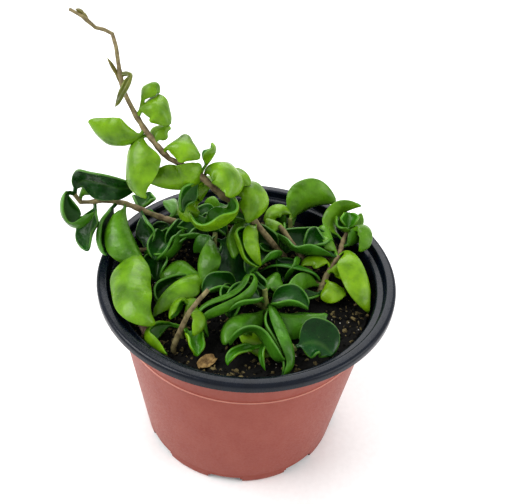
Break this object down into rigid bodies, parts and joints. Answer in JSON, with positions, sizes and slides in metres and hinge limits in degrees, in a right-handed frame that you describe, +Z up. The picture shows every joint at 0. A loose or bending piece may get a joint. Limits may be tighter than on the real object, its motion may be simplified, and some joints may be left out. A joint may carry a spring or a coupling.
{
  "type": "potted hindu rope plant",
  "caption": "Trailing wax plant with thick, folded and curled leaves on short vines, growing in a thin tapered plastic nursery pot with a turned-down rim.",
  "frame": {"origin": "centre of the pot's foot, on the surface that the pot stands on", "axes": "+Z up along the pot's axis, -Y towards the front of the plant, +X to its right"},
  "size_m": [0.1724, 0.152, 0.2242],
  "materials": {
    "pot": "satin, terracotta outside and black inside and on the rim",
    "mix": "damp peat with bark and perlite",
    "leaf_green": "waxy",
    "leaf_lime": "waxy",
    "twig": "dry bark",
    "dry_leaf": "dry and brown"
  },
  "bodies": {
    "root": {"pot": "pot", "potting_mix": "mix", "tall_stem": "leaf_lime", "left_stem": "leaf_green", "centre_stem": "leaf_green", "front_left_stem": "leaf_lime", "right_stem": "leaf_green", "back_right_stem": "leaf_green", "back_left_stem": "leaf_lime", "pruned_stub": "twig", "bark_chip_1": "twig", "bark_chip_2": "twig", "bark_chip_3": "twig", "dry_leaf_scrap": "dry_leaf"}
  },
  "joints": []
}
